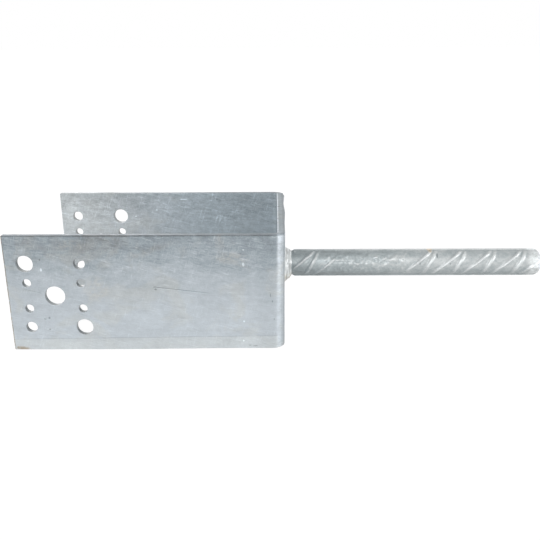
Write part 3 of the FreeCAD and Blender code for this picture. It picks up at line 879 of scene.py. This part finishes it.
def zinc_bar():
    """The bar: greener grey, with painted highlights on its crests, painted shade in its valleys, on top and
    below, and a mottled white end.
    """
    zinc = Zinc("zinc_bar")
    x, y, z = zinc.x, zinc.y, zinc.z
    radius = zinc.math("SQRT", zinc.plus(zinc.times(y, y), zinc.times(z, z)))
    clouds = zinc.grain(zinc.place, (16, 7, 7), detail=5, rough=0.6, warp=0.8)
    mottle = zinc.grain(zinc.place, (3.0, 2.4, 2.4), detail=4, rough=0.65, warp=0.6)
    speckle = zinc.grain(zinc.place, (0.9, 0.9, 0.9), detail=2, rough=0.6)
    along = zinc.slope(x, 60, 110, 0.710, 0.785)
    # Painted shade along the bar's top.
    upper = zinc.step(z, 4.5, 9.5, -0.05)
    # Painted shade on the bar's underside.
    lower = zinc.slope(z, 0.0, -CORE - 0.5, 0.0, -0.11)
    # Painted highlight on the rib crests, stronger towards the top.
    painted_crest_highlight = zinc.times(zinc.step(radius, CORE + 0.2, CORE + 0.9), zinc.slope(z, -8, 6, 0.03, 0.11))
    # Painted shade in the valleys between the ribs.
    painted_valley_shade = zinc.step(radius, CORE + 0.3, CORE, -0.03)
    tip = zinc.times(zinc.step(x, 205, 212.5), zinc.plus(0.165, zinc.swing(mottle, 0.32)))
    pits = zinc.any_of(zinc.spots(BAR_PITS), zinc.times(zinc.spot(*BAR_RUST, 1.6, 1.0), 0.8))
    pits = zinc.times(pits, zinc.step(y, 0.0, -0.5))
    tone = zinc.plus(
        along, zinc.swing(clouds, 0.22), zinc.swing(mottle, 0.24), zinc.swing(speckle, 0.12),
        upper, lower, painted_crest_highlight, painted_valley_shade, tip, zinc.times(pits, -0.20),
    )
    hue = zinc.tint(zinc.step(tone, 0.80, 0.64), BAR_DULL, BAR_BRIGHT)
    hue = zinc.tint(zinc.times(zinc.spot(*BAR_RUST, 2.2, 1.4), 0.8), RUSTY, hue)
    roughness = zinc.plus(0.42, zinc.swing(mottle, 0.4))
    relief = zinc.relief(mottle, 0.4, 0.4)
    relief = zinc.relief(speckle, 0.25, 0.12, relief)
    return zinc.finish(tone, hue, roughness, relief)


def zinc_weld():
    """The bead: bright zinc with a yellowish burn below and painted shade at its toe, where it meets the bar.
    """
    zinc = Zinc("zinc_weld")
    mottle = zinc.grain(zinc.place, (2.4, 2.4, 2.4), detail=4, rough=0.6, warp=0.8)
    ripples = zinc.grain(zinc.place, (1.4, 9, 9), detail=3, rough=0.5, warp=0.4)
    burn = zinc.times(zinc.step(zinc.z, -4, -10), zinc.step(mottle, 0.36, 0.56))
    # Painted shade in the crease where the bead's toe meets the bar.
    painted_toe_shade = zinc.step(zinc.x, 11.4, 12.2)
    tone = zinc.plus(
        0.86, zinc.swing(mottle, 0.14), zinc.swing(ripples, 0.75),
        zinc.times(burn, -0.12), zinc.times(painted_toe_shade, -0.28),
    )
    hue = zinc.tint(zinc.times(burn, 0.8), WELD_BURN, WELD_BRIGHT)
    roughness = zinc.plus(0.38, zinc.swing(mottle, 0.4))
    relief = zinc.relief(ripples, 0.4, 0.6)
    relief = zinc.relief(mottle, 0.3, 0.3, relief)
    return zinc.finish(tone, hue, roughness, relief)


# ---------------------------------------------------------------- stage, lamps and camera, in metres

CAMERA_PLACE = Vector((-0.0018, -0.54935, 0.17728))
CAMERA_PITCH = math.radians(18.518)
CAMERA_YAW = math.radians(-0.452)
CAMERA_ROLL = math.radians(-0.33)
SENSOR = 36
LENS = 45.685
FLOOR_SIZE = 40
FLOOR_GREY = 0.65
FLOOR_GLOW = 1.19


def shows_background(tree):
    """1 for rays from the camera, a mirror or glass, which see the plain white background."""
    path = tree.nodes.new("ShaderNodeLightPath")
    seen = path.outputs["Is Camera Ray"]
    for name in ("Is Glossy Ray", "Is Transmission Ray"):
        both = tree.nodes.new("ShaderNodeMath")
        both.operation = "MAXIMUM"
        tree.links.new(seen, both.inputs[0])
        tree.links.new(path.outputs[name], both.inputs[1])
        seen = both.outputs[0]
    return seen


def add_world(at_horizon, overhead):
    """White background. The surroundings light the object with a sky that is darker overhead."""
    world = bpy.data.worlds.new("studio")
    world.use_nodes = True
    bpy.context.scene.world = world
    tree = world.node_tree
    place = tree.nodes.new("ShaderNodeTexCoord")
    split = tree.nodes.new("ShaderNodeSeparateXYZ")
    tree.links.new(place.outputs["Generated"], split.inputs[0])
    fall = tree.nodes.new("ShaderNodeMapRange")
    tree.links.new(split.outputs["Z"], fall.inputs["Value"])
    fall.inputs["To Min"].default_value = at_horizon
    fall.inputs["To Max"].default_value = overhead
    light = tree.nodes["Background"]
    light.inputs["Color"].default_value = (1, 1, 1, 1)
    tree.links.new(fall.outputs["Result"], light.inputs["Strength"])
    white = tree.nodes.new("ShaderNodeBackground")
    white.inputs["Color"].default_value = (1, 1, 1, 1)
    white.inputs["Strength"].default_value = 1.0
    mix = tree.nodes.new("ShaderNodeMixShader")
    tree.links.new(shows_background(tree), mix.inputs["Fac"])
    tree.links.new(light.outputs[0], mix.inputs[1])
    tree.links.new(white.outputs[0], mix.inputs[2])
    tree.links.new(mix.outputs[0], tree.nodes["World Output"].inputs["Surface"])


def add_floor(shadow_share):
    """A white floor under the strip's lower edges. It keeps a soft shadow."""
    bpy.ops.mesh.primitive_plane_add(size=FLOOR_SIZE, location=(0, 0, CAD_LOW[2]))
    floor = bpy.context.object
    floor.name = "floor"
    material = bpy.data.materials.new("floor_white")
    material.use_nodes = True
    tree = material.node_tree
    matt = tree.nodes["Principled BSDF"]
    matt.inputs["Base Color"].default_value = (FLOOR_GREY, FLOOR_GREY, FLOOR_GREY, 1)
    matt.inputs["Roughness"].default_value = 1.0
    glow = tree.nodes.new("ShaderNodeEmission")
    glow.inputs["Color"].default_value = (1, 1, 1, 1)
    glow.inputs["Strength"].default_value = FLOOR_GLOW
    share = tree.nodes.new("ShaderNodeMath")
    share.operation = "MULTIPLY"
    share.inputs[1].default_value = 1 - shadow_share
    tree.links.new(shows_background(tree), share.inputs[0])
    mix = tree.nodes.new("ShaderNodeMixShader")
    tree.links.new(share.outputs[0], mix.inputs["Fac"])
    tree.links.new(matt.outputs[0], mix.inputs[1])
    tree.links.new(glow.outputs[0], mix.inputs[2])
    tree.links.new(mix.outputs[0], tree.nodes["Material Output"].inputs["Surface"])
    floor.data.materials.append(material)


def add_lamp(name, place, size, power):
    """A soft square lamp that is aimed at the origin."""
    data = bpy.data.lights.new(name, "AREA")
    data.size = size
    data.energy = power
    lamp = bpy.data.objects.new(name, data)
    bpy.context.scene.collection.objects.link(lamp)
    lamp.location = place
    lamp.rotation_euler = (-Vector(place)).to_track_quat("-Z", "Y").to_euler()


def add_camera():
    """In front of the U and a little above it, looking at its front flange, with the dowel to the right."""
    forward = Vector((
        math.sin(CAMERA_YAW) * math.cos(CAMERA_PITCH),
        math.cos(CAMERA_YAW) * math.cos(CAMERA_PITCH),
        -math.sin(CAMERA_PITCH),
    ))
    level = Vector((math.cos(CAMERA_YAW), -math.sin(CAMERA_YAW), 0))
    upright = level.cross(forward)
    right = math.cos(CAMERA_ROLL) * level + math.sin(CAMERA_ROLL) * upright
    up = math.cos(CAMERA_ROLL) * upright - math.sin(CAMERA_ROLL) * level
    data = bpy.data.cameras.new("camera")
    data.sensor_width = SENSOR
    data.lens = LENS
    data.clip_start = 0.01
    data.clip_end = 50
    camera = bpy.data.objects.new("camera", data)
    bpy.context.scene.collection.objects.link(camera)
    axes = Matrix((right, up, -forward)).transposed().to_4x4()
    camera.matrix_world = Matrix.Translation(CAMERA_PLACE) @ axes
    bpy.context.scene.camera = camera


make_u_bracket(zinc_plate())
make_anchor_dowel(zinc_bar())
make_weld_bead(zinc_weld())
add_floor(shadow_share=0.2)
add_world(at_horizon=0.75, overhead=0.25)
add_lamp("key", (-0.3, -1.4, 0.8), size=0.9, power=12.5)
add_lamp("fill", (-0.7, 1.5, 0.25), size=0.9, power=6)
add_lamp("side", (1.8, -0.45, 0.18), size=0.65, power=12)
add_camera()
bpy.context.scene.view_settings.view_transform = "Standard"
